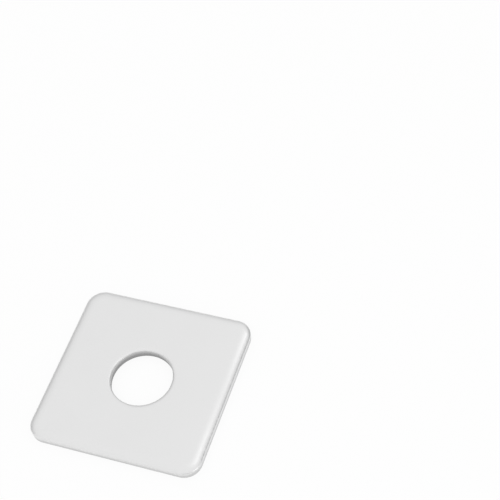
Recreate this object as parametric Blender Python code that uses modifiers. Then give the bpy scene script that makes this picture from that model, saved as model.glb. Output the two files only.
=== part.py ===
"""Square plate washer, 50 mm across, punched from steel plate for a 16 mm bolt.

Units are metres and +Z is up. The washer lies on its underside at z = 0, with the axis of the bolt hole on Z.
One stroke of the press cuts the outline and the hole, and marks every sheared wall in the same order from the
top down: a rolled rim, where the plate was drawn down before it gave way; a burnished land at full size; a torn
zone that falls away from full size; and a small break at the underside, where tumbling took off the burr.
"""

import math

import bmesh
import bpy

# Plate
SIDE = 0.050
THICKNESS = 0.0030
CORNER_RADIUS = 0.0050
HOLE_DIAMETER = 0.0175

# Rolled rim round the outline
EDGE_ROLL_WIDTH = 0.0030
EDGE_ROLL_DEPTH = 0.0009

# Rolled rim round the bolt hole
HOLE_ROLL_WIDTH = 0.0014
HOLE_ROLL_DEPTH = 0.00045

# Torn zone: its height above the underside, and how far it has fallen away from full size there
EDGE_TEAR_HEIGHT = 0.0014
EDGE_TEAR_TAPER = 0.00012
HOLE_TEAR_HEIGHT = 0.0019
HOLE_TEAR_TAPER = 0.00012

# Break left by tumbling, on both edges of the underside
UNDERSIDE_BREAK = 0.00012

# Facets
CORNER_SEGMENTS = 14
HOLE_SEGMENTS = 96
ROLL_SEGMENTS = 10

# The punch, as a cutter, stands out of both faces by this much
PUNCH_OVERRUN = 0.002
# Largest share of the corner radius that the rolled rim may take, so that its inner outline keeps round corners
ROLL_SHARE_OF_CORNER = 0.9
MERGE_DISTANCE = 0.000001
SMOOTH_ANGLE = math.radians(30)


def rolled_rim(width, depth):
    """(distance in from full size, height) down a quarter ellipse, from the upper face to the land."""
    points = []
    for i in range(ROLL_SEGMENTS + 1):
        angle = math.radians(90) * i / ROLL_SEGMENTS
        points.append((width * (1 - math.sin(angle)), THICKNESS - depth * (1 - math.cos(angle))))
    return points


def torn_zone(height, taper):
    """(distance in from full size, height) from the foot of the land down to the underside."""
    return [(0, height), (taper, UNDERSIDE_BREAK), (taper + UNDERSIDE_BREAK, 0)]


def step_cap(bm, cap, points):
    """Draws a cap in and along through the section's points, which adds one ring of wall for each."""
    for (inset, height), (next_inset, next_height) in zip(points, points[1:]):
        bmesh.ops.inset_region(
            bm,
            faces=[cap],
            thickness=next_inset - inset,
            depth=abs(next_height - height),
            use_even_offset=True,
        )


def blank_mesh():
    """The blank: its land is a square prism with rounded corners, and both caps are stepped in from it."""
    land_top = THICKNESS - EDGE_ROLL_DEPTH
    land_height = land_top - EDGE_TEAR_HEIGHT
    bm = bmesh.new()
    bmesh.ops.create_cube(bm, size=1.0)
    bmesh.ops.scale(bm, vec=(SIDE, SIDE, land_height), verts=bm.verts)
    bmesh.ops.translate(bm, vec=(0, 0, EDGE_TEAR_HEIGHT + land_height / 2), verts=bm.verts)
    upright = [e for e in bm.edges if abs(e.verts[0].co.z - e.verts[1].co.z) > land_height / 2]
    bmesh.ops.bevel(
        bm,
        geom=upright,
        offset=CORNER_RADIUS,
        offset_type="OFFSET",
        segments=CORNER_SEGMENTS,
        profile=0.5,
        affect="EDGES",
    )
    upper_cap = max(bm.faces, key=lambda f: f.calc_center_median().z)
    lower_cap = min(bm.faces, key=lambda f: f.calc_center_median().z)
    roll_width = min(EDGE_ROLL_WIDTH, CORNER_RADIUS * ROLL_SHARE_OF_CORNER)
    step_cap(bm, upper_cap, list(reversed(rolled_rim(roll_width, EDGE_ROLL_DEPTH))))
    step_cap(bm, lower_cap, torn_zone(EDGE_TEAR_HEIGHT, EDGE_TEAR_TAPER))
    mesh = bpy.data.meshes.new("plate_washer")
    bm.to_mesh(mesh)
    bm.free()
    return mesh


def punch_profile():
    """(radius, height) down the outer side of the punch, which leaves the section of the hole's wall."""
    radius = HOLE_DIAMETER / 2
    rim = [(radius + inset, height) for inset, height in rolled_rim(HOLE_ROLL_WIDTH, HOLE_ROLL_DEPTH)]
    tear = [(radius + inset, height) for inset, height in torn_zone(HOLE_TEAR_HEIGHT, HOLE_TEAR_TAPER)]
    # The first and the last facet of the wall run on past the faces, so that they cut them cleanly
    (first_r, first_z), (second_r, second_z) = rim[:2]
    above = (2 * first_r - second_r, 2 * first_z - second_z)
    (last_but_one_r, last_but_one_z), (last_r, last_z) = tear[-2:]
    below = (2 * last_r - last_but_one_r, 2 * last_z - last_but_one_z)
    return [
        (0, THICKNESS + PUNCH_OVERRUN),
        (above[0], THICKNESS + PUNCH_OVERRUN),
        above,
        *rim[1:],
        *tear[:-1],
        below,
        (below[0], -PUNCH_OVERRUN),
        (0, -PUNCH_OVERRUN),
    ]


def add_punch(collection):
    """The punch as a turned cutter, on the axis of the hole."""
    points = punch_profile()
    mesh = bpy.data.meshes.new("hole_punch")
    mesh.from_pydata([(r, 0, z) for r, z in points], [(i, i + 1) for i in range(len(points) - 1)], [])
    punch = bpy.data.objects.new("hole_punch", mesh)
    collection.objects.link(punch)
    screw = punch.modifiers.new("turn", "SCREW")
    screw.steps = HOLE_SEGMENTS
    screw.render_steps = HOLE_SEGMENTS
    screw.use_merge_vertices = True
    screw.merge_threshold = MERGE_DISTANCE
    screw.use_smooth_shade = True
    punch.hide_render = True
    punch.display_type = "WIRE"
    return punch


def zinc_plate():
    """Satin bright zinc on steel."""
    material = bpy.data.materials.new("zinc_plate")
    material.use_nodes = True
    shader = material.node_tree.nodes["Principled BSDF"]
    shader.inputs["Base Color"].default_value = (0.78, 0.78, 0.77, 1.0)
    shader.inputs["Metallic"].default_value = 1.0
    shader.inputs["Roughness"].default_value = 0.38
    return material


def add_washer(collection, punch):
    """The finished washer: the blank with the bolt hole punched through it."""
    mesh = blank_mesh()
    mesh.shade_smooth()
    mesh.set_sharp_from_angle(angle=SMOOTH_ANGLE)
    mesh.materials.append(zinc_plate())
    washer = bpy.data.objects.new("plate_washer", mesh)
    collection.objects.link(washer)
    cut = washer.modifiers.new("bolt_hole", "BOOLEAN")
    cut.operation = "DIFFERENCE"
    cut.solver = "EXACT"
    cut.object = punch
    return washer


def new_collection(name):
    collection = bpy.data.collections.new(name)
    bpy.context.scene.collection.children.link(collection)
    return collection


def main():
    for old in list(bpy.data.objects):
        bpy.data.objects.remove(old, do_unlink=True)
    parts = new_collection("square_plate_washer")
    cutters = new_collection("cutters")
    add_washer(parts, add_punch(cutters))


main()
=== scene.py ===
# %% [markdown]
# A square plate washer in bright zinc
#
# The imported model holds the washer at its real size. This lesson builds the surface that the camera
# sees: the rolled rim, the burnished land and the torn zone that one stroke of a press leaves on
# sheared plate, and the thin satin coat of zinc over all of it. Every size is in metres, and +Z is up,
# out of the rolled face.

import math

import bmesh
import bpy
from mathutils import Euler, Matrix, Vector, noise


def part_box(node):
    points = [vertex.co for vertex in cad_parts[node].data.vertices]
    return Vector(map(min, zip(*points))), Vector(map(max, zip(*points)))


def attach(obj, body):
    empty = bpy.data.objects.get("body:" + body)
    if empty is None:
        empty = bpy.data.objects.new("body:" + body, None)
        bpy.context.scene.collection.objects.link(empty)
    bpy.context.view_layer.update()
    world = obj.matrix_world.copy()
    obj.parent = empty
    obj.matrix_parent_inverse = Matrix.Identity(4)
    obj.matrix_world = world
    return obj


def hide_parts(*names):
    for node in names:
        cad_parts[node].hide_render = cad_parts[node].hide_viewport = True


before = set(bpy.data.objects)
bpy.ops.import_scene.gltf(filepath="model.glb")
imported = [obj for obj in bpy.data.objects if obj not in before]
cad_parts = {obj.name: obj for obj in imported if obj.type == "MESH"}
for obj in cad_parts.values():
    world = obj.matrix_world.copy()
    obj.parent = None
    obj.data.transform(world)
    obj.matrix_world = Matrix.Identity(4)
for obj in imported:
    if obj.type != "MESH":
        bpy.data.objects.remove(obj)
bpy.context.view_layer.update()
print("packed nodes:", sorted(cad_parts))

# %% [markdown]
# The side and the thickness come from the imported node's box, and the hole from the ring of its
# vertices that lies nearest the axis. The numbers could be copied here, but measuring them keeps this
# file right if the plate changes. The section's own sizes can't be read off a box, so they are named.

# %% Measure the plate
MM_PER_M = 1000
plate_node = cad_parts["plate_washer"]
plate_low, plate_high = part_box("plate_washer")
side = plate_high.x - plate_low.x
thickness = plate_high.z - plate_low.z
hole_radius = min(math.hypot(v.co.x, v.co.y) for v in plate_node.data.vertices)
print(f"side {side * MM_PER_M:.2f} mm, thickness {thickness * MM_PER_M:.2f} mm")
print(f"hole {2 * hole_radius * MM_PER_M:.2f} mm across")

corner_radius = 0.0050
edge_section = {"roll_width": 0.0030, "roll_depth": 0.0009, "tear_height": 0.0014}
hole_section = {"roll_width": 0.0014, "roll_depth": 0.00045, "tear_height": 0.0019}
tear_taper = 0.00012
underside_break = 0.00012

# %% [markdown]
# The section of a sheared wall
#
# Seen from the side, a punched edge has four bands. The rim is drawn down in a soft quarter ellipse
# before the steel gives way. The land below it is rubbed bright by the die and stands at full size.
# Then the steel tears, and the torn zone falls away from full size in a grainy slope. Tumbling leaves
# a small round break at the foot.
#
# A Bevel modifier would round the rim, but as deep as it is wide, and this rim is three times as wide
# as it is deep. So the section is written level by level. Each level is a function, from a point of
# the wall to how far in from full size that level lies there, and how high. A random number for each
# vertex would make such a level jagged, so what wanders on the way round comes from smooth noise.

# %% Noise along the wall
OCTAVES = 3
OCTAVE_STEP = 2.0
OCTAVE_FALLOFF = 0.8


def wander(point, wavelength):
    """Noise of about -1 to 1 at a point of the wall."""
    return noise.fractal(point / wavelength, OCTAVE_FALLOFF, OCTAVE_STEP, OCTAVES)


# %% [markdown]
# The rim is even where it leaves the face and wanders by a tenth of a millimetre where it meets the
# land, as it does on a tumbled part. A quarter ellipse could be had from a scaled circle, but a sine
# and a cosine give the same curve, and tell how far down the rim a level is, which sets its wander.

# %% Levels of the rim
QUARTER_TURN = math.radians(90)
ROLL_STEPS = 20
RIM_WANDER = 0.0001
RIM_WAVELENGTH = 0.0012


def rim_level(inset, height, share):
    """A level of the rim, which wanders up and down by this share of the rim's whole wander."""
    return lambda point: (inset, height + RIM_WANDER * share * wander(point, RIM_WAVELENGTH))


def rim_levels(section):
    """Levels down the quarter ellipse, from the flat face to the land."""
    for i in range(ROLL_STEPS + 1):
        angle = QUARTER_TURN * i / ROLL_STEPS
        drop = 1 - math.cos(angle)
        inset = section["roll_width"] * (1 - math.sin(angle))
        yield rim_level(inset, thickness - section["roll_depth"] * drop, drop**2)


print("levels down the rim:", len(list(rim_levels(edge_section))))

# %% [markdown]
# The break at the underside is rubbed round by tumbling, and too small for a wander to show, so its
# levels are the same all the way round. A Bevel could make it, but only once the wall is there. As
# a few levels on a quarter circle it comes with the wall.

# %% Levels of the break
BREAK_STEPS = 3


def even_level(inset, height):
    """A level that is the same all the way round."""
    return lambda point: (inset, height)


def break_levels():
    """Levels round the break, from the torn zone to the underside."""
    for i in range(1, BREAK_STEPS + 1):
        angle = QUARTER_TURN * i / BREAK_STEPS
        inset = tear_taper + underside_break * (1 - math.cos(angle))
        yield even_level(inset, underside_break * (1 - math.sin(angle)))


print("levels round the break:", len(list(break_levels())))

# %% [markdown]
# Steel doesn't tear along a line. The foot of the land wanders up and down by a tenth of a millimetre
# or so, and the slope below it is pitted. A Displace modifier on a vertex group could make the pits,
# but not move the foot of the land as well. So both come from noise, read at the place on the wall,
# and the pattern is the same at each run. The pits only go inwards, so the washer keeps its real size.

# %% Levels of the torn zone
FOOT_WANDER = 0.00014
FOOT_WAVELENGTH = 0.0024
PIT_DEPTH = 0.0001
PIT_WAVELENGTH = 0.0005
TEAR_STEPS = 9


def foot_height(section, point):
    """Height at which the land ends and the tear begins."""
    return section["tear_height"] + FOOT_WANDER * wander(point, FOOT_WAVELENGTH)


def torn_level(section, share):
    """A level of the tear: at share 0 it is the foot of the land, and at share 1 it meets the break."""

    def level(point):
        foot = foot_height(section, point)
        height = foot + (underside_break - foot) * share
        depth = (1 + wander(point + Vector((0, 0, height)), PIT_WAVELENGTH)) / 2
        pit = PIT_DEPTH * depth * math.sin(math.pi * share)
        return tear_taper * share + pit, height

    return level


print(f"pits up to {PIT_DEPTH * MM_PER_M:.1f} mm deep, in {TEAR_STEPS} steps down the tear")

# %% [markdown]
# The wall is then a list of levels, each with the band that it closes, and the bands become the
# washer's finishes. Faces could be picked by their height afterwards, but the foot of the land has no
# one height, so each band is named as it is made. The die rubs the steep lower part of the rim too, so
# the last steps of the rim go with the land. The hole's wall has finishes of its own, much darker
# towards its foot: partly because the plating bath hardly reaches into it, and partly painted shade
# of the hollow.

# %% All levels of a wall
FACE, EDGE_LAND, EDGE_TEAR, HOLE_LAND, HOLE_TEAR = range(5)
RUBBED_SHARE = 0.6
rubbed_from = round(RUBBED_SHARE * ROLL_STEPS)


def wall_levels(section, land, tear):
    """(band, level) for each step down the wall, after the first level, on the flat face."""
    rim = [(FACE if i <= rubbed_from else land, level) for i, level in enumerate(rim_levels(section))]
    torn = [(tear, torn_level(section, i / TEAR_STEPS)) for i in range(1, TEAR_STEPS + 1)]
    foot = [(tear, level) for level in break_levels()]
    return rim[1:] + [(land, torn_level(section, 0))] + torn + foot


print("levels down the edge:", len(wall_levels(edge_section, EDGE_LAND, EDGE_TEAR)))

# %% [markdown]
# Two closed rings of edges
#
# The hole's wall could be spun from its section, but a rounded square's can't, and a hole cut by a
# Boolean would leave long thin faces. So the outline and the hole are each a closed ring of edges that
# is pushed down the section, one extrusion for each level. A grid of one face with its four corners
# bevelled gives the rounded square, and a circle gives the hole. The vertices stand about a quarter of
# a millimetre apart all the way round, because the torn zone needs them.

# %% Rings to start from
VERTEX_SPACING = 0.00024
straight = side - 2 * corner_radius
corner_steps = round(QUARTER_TURN * corner_radius / VERTEX_SPACING)
straight_steps = round(straight / VERTEX_SPACING)
hole_steps = round(math.tau * hole_radius / VERTEX_SPACING)


def outline_ring(bm):
    """A rounded square of edges at full size, in the plane z = 0."""
    square = bmesh.ops.create_grid(bm, x_segments=1, y_segments=1, size=side / 2)
    bmesh.ops.bevel(
        bm,
        geom=square["verts"],
        offset=corner_radius,
        segments=corner_steps,
        profile=0.5,
        affect="VERTICES",
        material=-1,
    )
    long_edges = [e for e in bm.edges if e.calc_length() > straight / 2]
    bmesh.ops.subdivide_edges(bm, edges=long_edges, cuts=straight_steps - 1)
    bmesh.ops.delete(bm, geom=list(bm.faces), context="FACES_ONLY")
    return list(bm.edges)


def hole_ring(bm):
    """A circle of edges at the size of the hole's land."""
    before = set(bm.edges)
    bmesh.ops.create_circle(bm, segments=hole_steps, radius=hole_radius)
    return [e for e in bm.edges if e not in before]


print("steps round a corner:", corner_steps, "along a side:", straight_steps, "round the hole:", hole_steps)

# %% [markdown]
# Scaling the ring from level to level would make the rim wider at the corners than along the sides. So
# a vertex of the outline keeps its own direction as the ring shrinks. The rounded square is a smaller
# square, the core, with a disc of the corner radius rolled round it. The direction is the one from the
# nearest point of the core, and a step in from full size shortens it. In the hole the direction is
# simply away from the axis, and a step in from full size makes the ring wider.

# %% Where a level puts a vertex
core_half = side / 2 - corner_radius


def on_outline(point, inset, height):
    """The point of the outline's ring at this inset and height, in the direction that the vertex has."""
    core = Vector((min(max(c, -core_half), core_half) for c in point.xy))
    outward = (point.xy - core).normalized()
    return (core + outward * (corner_radius - inset)).to_3d() + Vector((0, 0, height))


def on_hole(point, inset, height):
    """The point of the hole's ring at this inset and height."""
    return (point.xy.normalized() * (hole_radius + inset)).to_3d() + Vector((0, 0, height))


print(f"core of the rounded square: {2 * core_half * MM_PER_M:.1f} mm across")

# %% [markdown]
# Separate rings could be stacked up and bridged, but an extrusion needs no matching of vertices. It
# makes a new ring on top of the old one, joined to it by a band of faces, and the new ring is then
# moved to its level. A level is always read at the vertex's point at full size, so that a wander which
# begins at one level carries on at the next, straight down the wall.

# %% Push a ring down its wall
def settle(verts, place, level):
    """Moves each vertex to its place on a level, which is read at the vertex's point at full size."""
    for v in verts:
        point = place(v.co, 0, 0)
        v.co = place(point, *level(point))


def push_ring(bm, ring, place, level, band):
    """Extrudes a closed ring of edges to the next level, and returns the new ring."""
    grown = bmesh.ops.extrude_edge_only(bm, edges=ring)["geom"]
    verts = {g for g in grown if isinstance(g, bmesh.types.BMVert)}
    settle(verts, place, level)
    for face in (g for g in grown if isinstance(g, bmesh.types.BMFace)):
        face.material_index = band
        face.smooth = True
    return [g for g in grown if isinstance(g, bmesh.types.BMEdge) and verts.issuperset(g.verts)]


def sheared_wall(bm, ring, place, section, land, tear):
    """Pushes a ring down a whole wall, and returns the ring on the face and the one underneath."""
    settle({v for e in ring for v in e.verts}, place, next(rim_levels(section)))
    top = ring
    for band, level in wall_levels(section, land, tear):
        ring = push_ring(bm, ring, place, level, band)
    return top, ring


# %% [markdown]
# Closing the two faces
#
# What is left open is flat: one sheet with a hole on the upper side and one underneath. The two rings
# of a sheet have different numbers of vertices, which a bridge of loops joins badly, so a triangle
# fill closes each sheet between its rings. The walls are shaded smooth, and these two sheets stay
# flat, so that no curved wall can bend the light on them. The normals are worked out last, when the
# shell has no gap left.

# %% Build the washer
SHARP_ANGLE = math.radians(40)


def washer_mesh():
    """The whole plate as one closed mesh, with its bands as material indices."""
    bm = bmesh.new()
    ring = outline_ring(bm)
    edge_top, edge_foot = sheared_wall(bm, ring, on_outline, edge_section, EDGE_LAND, EDGE_TEAR)
    ring = hole_ring(bm)
    hole_top, hole_foot = sheared_wall(bm, ring, on_hole, hole_section, HOLE_LAND, HOLE_TEAR)
    bmesh.ops.triangle_fill(bm, edges=edge_top + hole_top, use_beauty=True, normal=(0, 0, 1))
    bmesh.ops.triangle_fill(bm, edges=edge_foot + hole_foot, use_beauty=True, normal=(0, 0, -1))
    bmesh.ops.recalc_face_normals(bm, faces=bm.faces)
    open_edges = sum(1 for e in bm.edges if len(e.link_faces) != 2)
    print(f"washer: {len(bm.verts)} vertices, {len(bm.faces)} faces, {open_edges} open edges")
    mesh = bpy.data.meshes.new("zinc_washer")
    bm.to_mesh(mesh)
    bm.free()
    mesh.set_sharp_from_angle(angle=SHARP_ANGLE)
    return mesh


zinc_washer = bpy.data.objects.new("zinc_washer", washer_mesh())
bpy.context.scene.collection.objects.link(zinc_washer)
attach(zinc_washer, "root")
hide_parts("plate_washer")

# %% [markdown]
# Bright zinc
#
# Electroplated zinc is a bright, almost neutral metal with a satin bloom. It takes the surface of the
# steel under it, so the face shows a very fine grain and faint lines from the rolling mill. The colour
# of a metal is how much light it reflects, so it sits in Base Color with Metallic at 1, and the satin
# is the Roughness. A painted texture would need the washer unwrapped, with a seam somewhere. Noise
# needs neither, so the helper below makes a noise pattern from the size of its features, on Object
# coordinates, which are in metres.

# %% A metal and a noise pattern
PLAIN_DETAIL = 2.0


def new_metal(name):
    """A metal with its node tree, ready for patterns."""
    material = bpy.data.materials.new(name)
    material.use_nodes = True
    shader = material.node_tree.nodes["Principled BSDF"]
    shader.inputs["Metallic"].default_value = 1.0
    return material, material.node_tree, shader


def pattern(tree, feature, stretch=(1, 1, 1), detail=PLAIN_DETAIL):
    """Noise from 0 to 1 with features about this many metres across, drawn out by stretch."""
    place = tree.nodes.new("ShaderNodeTexCoord")
    mapping = tree.nodes.new("ShaderNodeMapping")
    mapping.inputs["Scale"].default_value = [1 / (feature * s) for s in stretch]
    field = tree.nodes.new("ShaderNodeTexNoise")
    field.inputs["Scale"].default_value = 1.0
    field.inputs["Detail"].default_value = detail
    tree.links.new(place.outputs["Object"], mapping.inputs["Vector"])
    tree.links.new(mapping.outputs["Vector"], field.inputs["Vector"])
    return field.outputs["Fac"]


# %% [markdown]
# A pattern then drives the shader. A Map Range turns it into a roughness between two limits, a Color
# Ramp into a grey through several stops, and a Bump into a tilt of the surface from a height in
# metres. One large node group could do all of it, but small helpers keep each finish down to a few
# lines that can be read.

# %% From a pattern to a value, a colour or a bump
# A noise texture keeps mostly between these two values
PATTERN_LOW, PATTERN_HIGH = 0.3, 0.7


def between(tree, field, low, high, start=PATTERN_LOW, stop=PATTERN_HIGH):
    """A value that goes from low to high while a pattern goes from start to stop."""
    span = tree.nodes.new("ShaderNodeMapRange")
    span.inputs["From Min"].default_value = start
    span.inputs["From Max"].default_value = stop
    span.inputs["To Min"].default_value = low
    span.inputs["To Max"].default_value = high
    tree.links.new(field, span.inputs["Value"])
    return span.outputs["Result"]


def tone(tree, share, stops):
    """A neutral colour that follows a share through stops, each one a (share, grey)."""
    ramp = tree.nodes.new("ShaderNodeValToRGB")
    elements = ramp.color_ramp.elements
    # A ramp has two stops at first, and a new one gets its real place below
    while len(elements) < len(stops):
        elements.new(0.5)
    for element, (position, grey) in zip(elements, stops):
        element.position = position
        element.color = (grey, grey, grey, 1)
    tree.links.new(share, ramp.inputs["Fac"])
    return ramp.outputs["Color"]


def bump(tree, shader, heights):
    """Chains bumps, one for each (pattern, height in metres), into the shader's normal."""
    normal = None
    for field, height in heights:
        node = tree.nodes.new("ShaderNodeBump")
        node.inputs["Distance"].default_value = height
        tree.links.new(field, node.inputs["Height"])
        if normal is not None:
            tree.links.new(normal, node.inputs["Normal"])
        normal = node.outputs["Normal"]
    tree.links.new(normal, shader.inputs["Normal"])


# %% [markdown]
# The face and the rim carry the mill's surface. The grain is about a fifth of a millimetre, the mill
# lines run along X, and a cloudy pattern a few millimetres wide lets the bloom come and go. The same
# grain in the mesh would take millions of triangles. It stands only a few thousandths of a millimetre
# high, so bump is enough.

# %% Finish of the face and rim
ZINC = 0.79
GRAIN = {"feature": 0.0002}
GRAIN_HEIGHT = 0.000004
MILL_LINES = {"feature": 0.00025, "stretch": (24, 1, 1)}
MILL_LINE_HEIGHT = 0.000003
BLOOM = {"feature": 0.006, "detail": 3.0}
FACE_ROUGHNESS = (0.28, 0.33)
SPECKLE = 0.01


def satin_zinc():
    """Face and rim: fine grain, faint mill lines, and a bloom that comes and goes."""
    material, tree, shader = new_metal("satin_zinc")
    grain = pattern(tree, **GRAIN)
    lines = pattern(tree, **MILL_LINES)
    bloom = pattern(tree, **BLOOM)
    tree.links.new(between(tree, bloom, *FACE_ROUGHNESS), shader.inputs["Roughness"])
    speckle = tone(tree, between(tree, grain, 0, 1), [(0, ZINC - SPECKLE), (1, ZINC + SPECKLE)])
    tree.links.new(speckle, shader.inputs["Base Color"])
    bump(tree, shader, [(grain, GRAIN_HEIGHT), (lines, MILL_LINE_HEIGHT)])
    return material


# %% [markdown]
# On the walls the colour gets darker towards the foot, and much faster in the hole than round the
# outside. Partly the zinc gets thinner and duller there, and partly it is painted shade, where the
# wall comes down to the floor and into the hollow of the hole. Vertex colours could carry that, but
# only as finely as the vertices stand. So a wall's colour follows the height above the underside, with
# a pattern added to the height, so that the change has a ragged edge and no line. The die rubbed the
# land and scored it from top to bottom, in fine scores and in broader streaks. Stretching a pattern in
# Z draws such lines on every upright wall at once.

# %% Finish of the lands
SCORES = {"feature": 0.00012, "stretch": (1, 1, 40)}
SCORE_DEPTH = 0.000006
STREAKS = {"feature": 0.0004, "stretch": (1, 1, 3), "detail": 3.0}
STREAK_DEPTH = 0.000012
LAND_ROUGHNESS = (0.28, 0.38)


# The share that darkens a wall towards its foot: duller zinc and painted shade together.
def dulled_and_shaded_by_height(tree, field, spread, low, high):
    """From 0 at the height low to 1 at the height high, moved up and down by a pattern."""
    place = tree.nodes.new("ShaderNodeTexCoord")
    axes = tree.nodes.new("ShaderNodeSeparateXYZ")
    ragged = tree.nodes.new("ShaderNodeMath")
    ragged.operation = "MULTIPLY_ADD"
    ragged.inputs[1].default_value = spread
    tree.links.new(place.outputs["Object"], axes.inputs["Vector"])
    tree.links.new(field, ragged.inputs[0])
    tree.links.new(axes.outputs["Z"], ragged.inputs[2])
    return between(tree, ragged.outputs["Value"], 0, 1, low + spread / 2, high + spread / 2)


def scored_zinc(name, low, high, ragged, stops):
    """Burnished land, whose colour goes through the stops from low to high: duller zinc and painted shade.
    """
    material, tree, shader = new_metal(name)
    scores = pattern(tree, **SCORES)
    streaks = pattern(tree, **STREAKS)
    dulling_and_shade = dulled_and_shaded_by_height(tree, streaks, ragged, low, high)
    tree.links.new(between(tree, scores, *LAND_ROUGHNESS), shader.inputs["Roughness"])
    tree.links.new(tone(tree, dulling_and_shade, stops), shader.inputs["Base Color"])
    bump(tree, shader, [(scores, SCORE_DEPTH), (streaks, STREAK_DEPTH)])
    return material


# %% [markdown]
# The tear is crystalline under the zinc. Its pits are already in the mesh. Its grain, a tenth of a
# millimetre across, could be there too, for hundreds of thousands of triangles more, so the finish
# adds it as bump. It is rougher than the land, and carries on the same change of colour with height.

# %% Finish of the torn zones
CRYSTALS = {"feature": 0.00009, "detail": 4.0}
CRYSTAL_HEIGHT = 0.00004
PATCHES = {"feature": 0.0004, "stretch": (1, 1, 2), "detail": 3.0}
TEAR_ROUGHNESS = (0.42, 0.58)


def torn_zinc(name, low, high, ragged, stops):
    """Torn steel under thin zinc, whose colour goes through the stops from low to high: duller zinc and
    painted shade.
    """
    material, tree, shader = new_metal(name)
    crystals = pattern(tree, **CRYSTALS)
    patches = pattern(tree, **PATCHES)
    dulling_and_shade = dulled_and_shaded_by_height(tree, patches, ragged, low, high)
    tree.links.new(between(tree, crystals, *TEAR_ROUGHNESS), shader.inputs["Roughness"])
    tree.links.new(tone(tree, dulling_and_shade, stops), shader.inputs["Base Color"])
    bump(tree, shader, [(crystals, CRYSTAL_HEIGHT)])
    return material


# %% [markdown]
# The darkening of each wall comes down to a few values: between which heights it darkens, how ragged
# that change is, and the greys that it goes through from the foot up. Part of it is duller zinc, and
# part is painted shade near the floor and in the hollow of the hole. At the foot the outside keeps four
# fifths of its brightness, and the hole two fifths. A wall's land and tear share these values, so that
# no step shows between them. One material with masks could hold all five finishes, but five small
# ones, given out by band, are easier to read and to change. They go on the mesh in the order of the
# bands.

# %% Finishes on the washer
# Greys from the foot up: duller zinc and painted shade, far deeper in the hole.
edge_dulling_and_shade = {"low": 0.0011, "high": 0.0022, "ragged": 0.0016, "stops": [(0, 0.65), (1, ZINC)]}
hole_dull_and_shade_stops = [(0, 0.33), (0.75, 0.50), (1, ZINC)]
hole_dulling_and_shade = {"low": 0.0008, "high": 0.00285, "ragged": 0.0002, "stops": hole_dull_and_shade_stops}
finishes = [
    satin_zinc(),
    scored_zinc("edge_land", **edge_dulling_and_shade),
    torn_zinc("edge_tear", **edge_dulling_and_shade),
    scored_zinc("hole_land", **hole_dulling_and_shade),
    torn_zinc("hole_tear", **hole_dulling_and_shade),
]
for finish in finishes:
    zinc_washer.data.materials.append(finish)
    print("finish:", finish.name)

# %% [markdown]
# The studio
#
# The washer lies in a white tent that is lit from above. Zinc shows what is round it, so the tent is
# drawn as slopes of brightness. Lamps alone would leave the metal black between them, and a picture of
# a studio would be one more file. The roof is white, and falls to a little over half of that at the
# sides and the back, where the far rims turn to: that draws the soft grey line round them. A white
# card closes the front, so the near rims stay light. A grey card stands at the back on the right, and
# draws the dark line below the right edge's highlight. Low in front, where the camera looks in, the
# tent has a dark gap. It draws the thin line between the rim and the land round the near corner, and
# it stays low, so that the flat face mirrors it from hardly any side.
#
# The world's Generated coordinates are the direction looked in. Their dot product with the direction
# of a card says how nearly it is looked at, and a smooth step of that is the card with a soft edge.

# %% Cards of the tent
def card(tree, looking, towards, start, stop):
    """A share from 0 to 1 as the direction looked in comes nearer to the card's."""
    nearness = tree.nodes.new("ShaderNodeVectorMath")
    nearness.operation = "DOT_PRODUCT"
    nearness.inputs[1].default_value = towards
    edge = tree.nodes.new("ShaderNodeMapRange")
    edge.interpolation_type = "SMOOTHSTEP"
    edge.inputs["From Min"].default_value = start
    edge.inputs["From Max"].default_value = stop
    tree.links.new(looking, nearness.inputs[0])
    tree.links.new(nearness.outputs["Value"], edge.inputs["Value"])
    return edge.outputs["Result"]


def combined(tree, operation, first, second):
    """Two values put together by a Math node."""
    node = tree.nodes.new("ShaderNodeMath")
    node.operation = operation
    tree.links.new(first, node.inputs[0])
    tree.links.new(second, node.inputs[1])
    return node.outputs["Value"]


# %% [markdown]
# The brighter of the roof and the white card lights each direction, and the grey card and the gap are
# taken away from it. The gap is where two cards meet: one in front, and one that takes in all that
# lies low.

# %% Put up the tent
TENT_LOW, TENT_HIGH = 0.58, 1.0
GREY_CARD_DEPTH = 0.35
GAP_DEPTH = 1.0
ROOF = {"towards": (0.1, 0.2, 0.975), "start": 0.22, "stop": 0.8}
WHITE_CARD = {"towards": (0.34, -0.94, 0.0), "start": -0.15, "stop": 0.15}
GREY_CARD = {"towards": (0.60, 0.75, 0.28), "start": 0.80, "stop": 0.94}
FRONT_GAP = {"towards": (0.407, -0.914, 0.0), "start": 0.90, "stop": 0.98}
ALL_LOW = {"towards": (0.0, 0.0, -1.0), "start": -0.42, "stop": -0.30}


def tent():
    """The world as a white tent: its cards put together into one strength."""
    world = bpy.data.worlds.new("tent")
    world.use_nodes = True
    tree = world.node_tree
    looking = tree.nodes.new("ShaderNodeTexCoord").outputs["Generated"]
    white = combined(tree, "MAXIMUM", card(tree, looking, **ROOF), card(tree, looking, **WHITE_CARD))
    glow = between(tree, white, TENT_LOW, TENT_HIGH, 0, 1)
    shade = between(tree, card(tree, looking, **GREY_CARD), 0, GREY_CARD_DEPTH, 0, 1)
    in_front = card(tree, looking, **FRONT_GAP)
    opening = combined(tree, "MULTIPLY", in_front, card(tree, looking, **ALL_LOW))
    gap = between(tree, opening, 0, GAP_DEPTH, 0, 1)
    strength = combined(tree, "SUBTRACT", glow, combined(tree, "ADD", shade, gap))
    background = tree.nodes["Background"]
    background.inputs["Color"].default_value = (1, 1, 1, 1)
    tree.links.new(strength, background.inputs["Strength"])
    bpy.context.scene.world = world
    return world


tent_world = tent()
print("tent:", len(tent_world.node_tree.nodes), "nodes")

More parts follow.
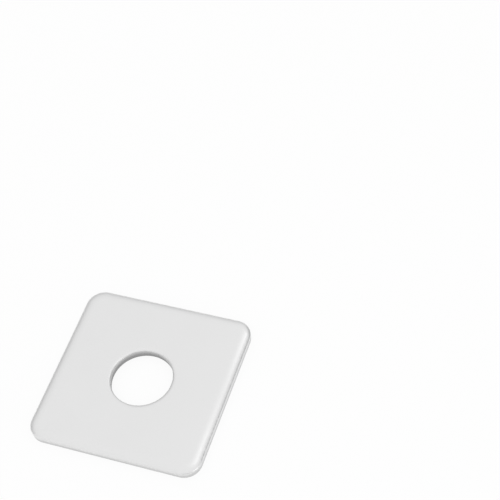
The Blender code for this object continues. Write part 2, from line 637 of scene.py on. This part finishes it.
# %% [markdown]
# Two small softboxes stand close over the right side, one for each corner. Where the rim tilts by
# about twelve degrees it mirrors one of them to the camera, and that makes the soft bright band along
# the right edge, strong at both corners and faint between them. One long lamp would make the band
# even, which it isn't. A third stands low on the right and lights the wall of the near corner. A
# softbox is aimed at its corner, and its power is worked out from the brightness of its front.

# %% Softboxes
half = side / 2
back_corner = Vector((half, half, thickness))
front_corner = Vector((half, -half, thickness))


def add_softbox(name, aim, towards, distance, size, brightness):
    """A square lamp that stands off a point in a direction, and shines back at it."""
    data = bpy.data.lights.new(name, "AREA")
    data.shape = "SQUARE"
    data.size = size
    data.energy = brightness * math.pi * size**2
    turn = towards.to_track_quat("Z", "Y").to_matrix().to_4x4()
    box = bpy.data.objects.new(name, data)
    bpy.context.scene.collection.objects.link(box)
    box.matrix_world = Matrix.Translation(aim + towards.normalized() * distance) @ turn
    box.visible_camera = False
    print(f"{name}: {data.energy:.4f} W")


over_rim = {"distance": 0.12, "size": 0.03, "brightness": 0.5}
low_down = {"distance": 0.30, "size": 0.11, "brightness": 1.6}
add_softbox("back_softbox", back_corner, towards=Vector((0.066, 0.501, 0.864)), **over_rim)
add_softbox("front_softbox", front_corner, towards=Vector((0.070, 0.396, 0.917)), **over_rim)
add_softbox("low_softbox", front_corner, towards=Vector((0.943, -0.311, 0.150)), **low_down)

# %% [markdown]
# The floor is a white sheet. Most of what the camera and the metal see of it is an even glow, so that
# it reads as the clean white of a product photograph, and the rest is the sheet itself, with the
# washer's soft shadow on it. More light on a plain sheet would make it as white, but would burn out
# the metal too. From below it is clear, so that the underside can be looked at.

# %% Pale sheet
FLOOR_GREY = 0.95
FLOOR_GLOW = 1.0
FLOOR_GLOW_SHARE = 0.9


def mixed(tree, share, first, second):
    """A shader that goes from the first to the second as the share goes from 0 to 1."""
    mix = tree.nodes.new("ShaderNodeMixShader")
    tree.links.new(share, mix.inputs["Fac"])
    tree.links.new(first, mix.inputs[1])
    tree.links.new(second, mix.inputs[2])
    return mix.outputs["Shader"]


def pale_sheet():
    """A diffuse sheet, mixed with an even white for the camera and for what reflects it."""
    material = bpy.data.materials.new("pale_sheet")
    material.use_nodes = True
    tree = material.node_tree
    tree.nodes.clear()
    output = tree.nodes.new("ShaderNodeOutputMaterial")
    sheet = tree.nodes.new("ShaderNodeBsdfDiffuse")
    sheet.inputs["Color"].default_value = (FLOOR_GREY, FLOOR_GREY, FLOOR_GREY, 1)
    white = tree.nodes.new("ShaderNodeEmission")
    white.inputs["Strength"].default_value = FLOOR_GLOW
    rays = tree.nodes.new("ShaderNodeLightPath")
    seen = rays.outputs["Is Camera Ray"]
    for kind in ("Is Glossy Ray", "Is Transmission Ray"):
        either = tree.nodes.new("ShaderNodeMath")
        either.operation = "MAXIMUM"
        tree.links.new(seen, either.inputs[0])
        tree.links.new(rays.outputs[kind], either.inputs[1])
        seen = either.outputs["Value"]
    share = tree.nodes.new("ShaderNodeMath")
    share.operation = "MULTIPLY"
    share.inputs[1].default_value = FLOOR_GLOW_SHARE
    tree.links.new(seen, share.inputs[0])
    glowing = mixed(tree, share.outputs["Value"], sheet.outputs["BSDF"], white.outputs["Emission"])
    clear = tree.nodes.new("ShaderNodeBsdfTransparent")
    sides = tree.nodes.new("ShaderNodeNewGeometry")
    whole = mixed(tree, sides.outputs["Backfacing"], glowing, clear.outputs["BSDF"])
    tree.links.new(whole, output.inputs["Surface"])
    return material


# %% [markdown]
# The sheet lies a hair under the washer, because two surfaces in one plane would show through each
# other. Its border is swept up, as a paper sheet is in a studio, so that a camera that looks in low
# still has white behind the washer. A round sweep would need many faces. A grid of three squares by
# three is enough here, with the vertices of its border raised.

# %% Lay the floor
FLOOR_HALF = 3.0
FLOOR_SWEEP = 0.28
FLOOR_DROP = 0.00002


def add_floor():
    """A grid of squares just under the washer, with its border raised."""
    bm = bmesh.new()
    bmesh.ops.create_grid(bm, x_segments=3, y_segments=3, size=FLOOR_HALF)
    bmesh.ops.translate(bm, vec=(0, 0, plate_low.z - FLOOR_DROP), verts=bm.verts)
    bmesh.ops.translate(bm, vec=(0, 0, FLOOR_SWEEP), verts=[v for v in bm.verts if v.is_boundary])
    mesh = bpy.data.meshes.new("floor")
    bm.to_mesh(mesh)
    bm.free()
    mesh.materials.append(pale_sheet())
    floor = bpy.data.objects.new("floor", mesh)
    bpy.context.scene.collection.objects.link(floor)
    print(f"floor: {2 * FLOOR_HALF:.0f} m across, {FLOOR_DROP * MM_PER_M:.2f} mm below the washer")


add_floor()

# %% [markdown]
# The camera
#
# The camera stands where the photograph's did. Its line of sight comes down at a bit more than fifty
# degrees, with a roll of ten and a half, and the washer sits low on the left of the frame. Aiming the
# camera at the washer and shifting the lens would frame it too, but with another perspective. So the
# camera is turned first, and then slid sideways until the middle of the washer's face lands on its
# place in the frame.

# %% Camera
FRAME_PIXELS = 500
LENS_MM = 99.75
CAMERA_AZIMUTH = math.radians(27.0)
CAMERA_ELEVATION = math.radians(52.55)
CAMERA_ROLL = math.radians(10.54)
CAMERA_DEPTH = 0.38313
FACE_CENTRE_PIXEL = (141.4, 377.3)
CLIP_NEAR, CLIP_FAR = 0.01, 20


def add_camera():
    """A camera turned to the photograph's angle, and slid until the washer is in its place."""
    data = bpy.data.cameras.new("camera")
    data.lens = LENS_MM
    data.clip_start = CLIP_NEAR
    data.clip_end = CLIP_FAR
    camera = bpy.data.objects.new("camera", data)
    bpy.context.scene.collection.objects.link(camera)
    turn = Euler((QUARTER_TURN - CAMERA_ELEVATION, 0, CAMERA_AZIMUTH)).to_matrix()
    turn = turn @ Matrix.Rotation(-CAMERA_ROLL, 3, "Z")
    metres_per_pixel = CAMERA_DEPTH * data.sensor_width / data.lens / FRAME_PIXELS
    across = (FACE_CENTRE_PIXEL[0] - FRAME_PIXELS / 2) * metres_per_pixel
    down = (FACE_CENTRE_PIXEL[1] - FRAME_PIXELS / 2) * metres_per_pixel
    face_centre = Vector((0, 0, plate_high.z))
    place = face_centre - turn @ Vector((across, -down, -CAMERA_DEPTH))
    camera.matrix_world = Matrix.Translation(place) @ turn.to_4x4()
    bpy.context.scene.camera = camera
    print("camera at", [round(c, 4) for c in place])


add_camera()
bpy.context.scene.view_settings.view_transform = "Standard"
